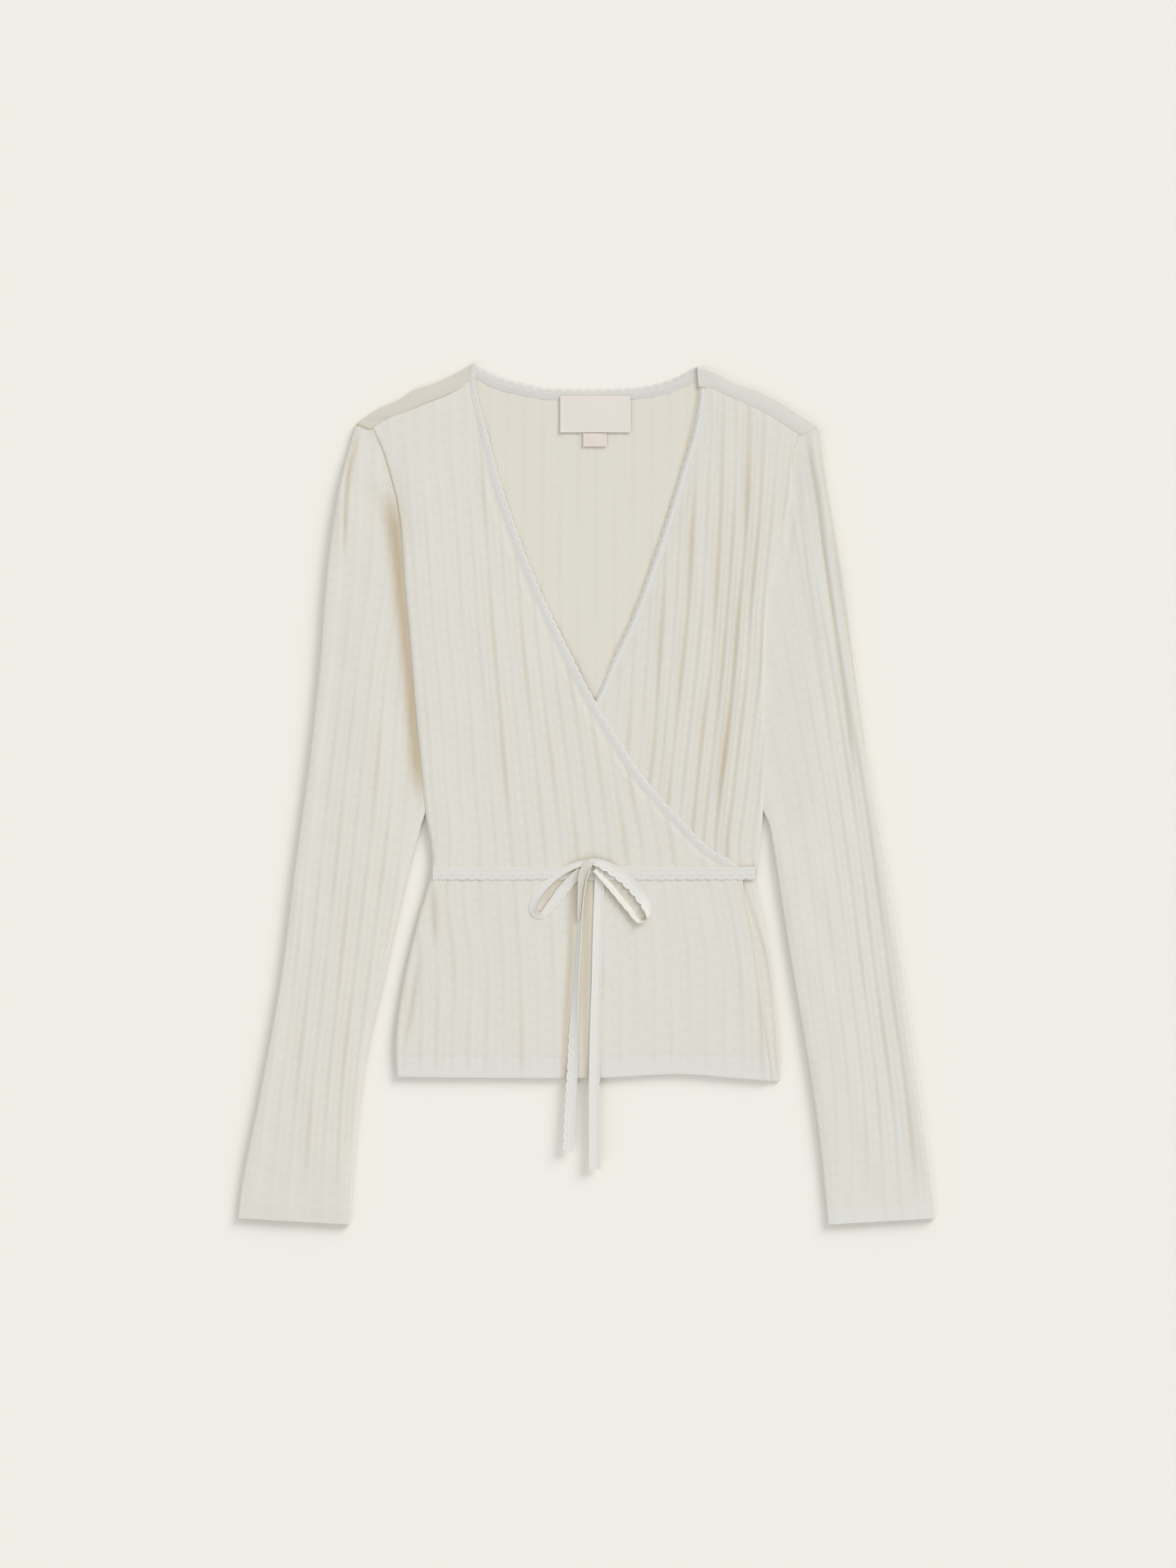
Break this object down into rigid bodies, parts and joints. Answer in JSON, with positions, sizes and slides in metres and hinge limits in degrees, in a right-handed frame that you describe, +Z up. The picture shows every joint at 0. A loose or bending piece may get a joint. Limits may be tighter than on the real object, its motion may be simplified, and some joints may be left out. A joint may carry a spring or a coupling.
{
  "type": "wrap cardigan",
  "caption": "Fine knitted wrap cardigan laid flat: crossed fronts, long sleeves, flared peplum, scalloped neckline and a waist tie knotted in a bow.",
  "frame": {"origin": "centre of the garment's box in plan, on the surface that it lies on", "axes": "+Y from the hem to the neck, +X towards the wearer's left, +Z up off the surface, through the layers of cloth"},
  "size_m": [0.5337, 0.6572, 0.0159],
  "materials": {
    "pointelle_knit": "fine ivory pointelle rib knit, matt",
    "scallop_trim": "ivory knitted band with a scalloped edge, matt",
    "woven_label": "smooth cream woven tape, bare"
  },
  "bodies": {
    "root": {"back": "pointelle_knit", "front_right": "pointelle_knit", "front_left": "pointelle_knit", "shoulder_right": "pointelle_knit", "shoulder_left": "pointelle_knit", "sleeve_right": "pointelle_knit", "sleeve_left": "pointelle_knit", "trim_neck_right": "scallop_trim", "trim_neck_left": "scallop_trim", "trim_neck_back": "scallop_trim", "tie_band_right": "scallop_trim", "tie_band_left": "scallop_trim", "tie_knot": "scallop_trim", "bow_loop_right": "scallop_trim", "bow_loop_left": "scallop_trim", "tie_end_right": "scallop_trim", "tie_end_left": "scallop_trim", "label_main": "woven_label", "label_size": "woven_label"}
  },
  "joints": []
}
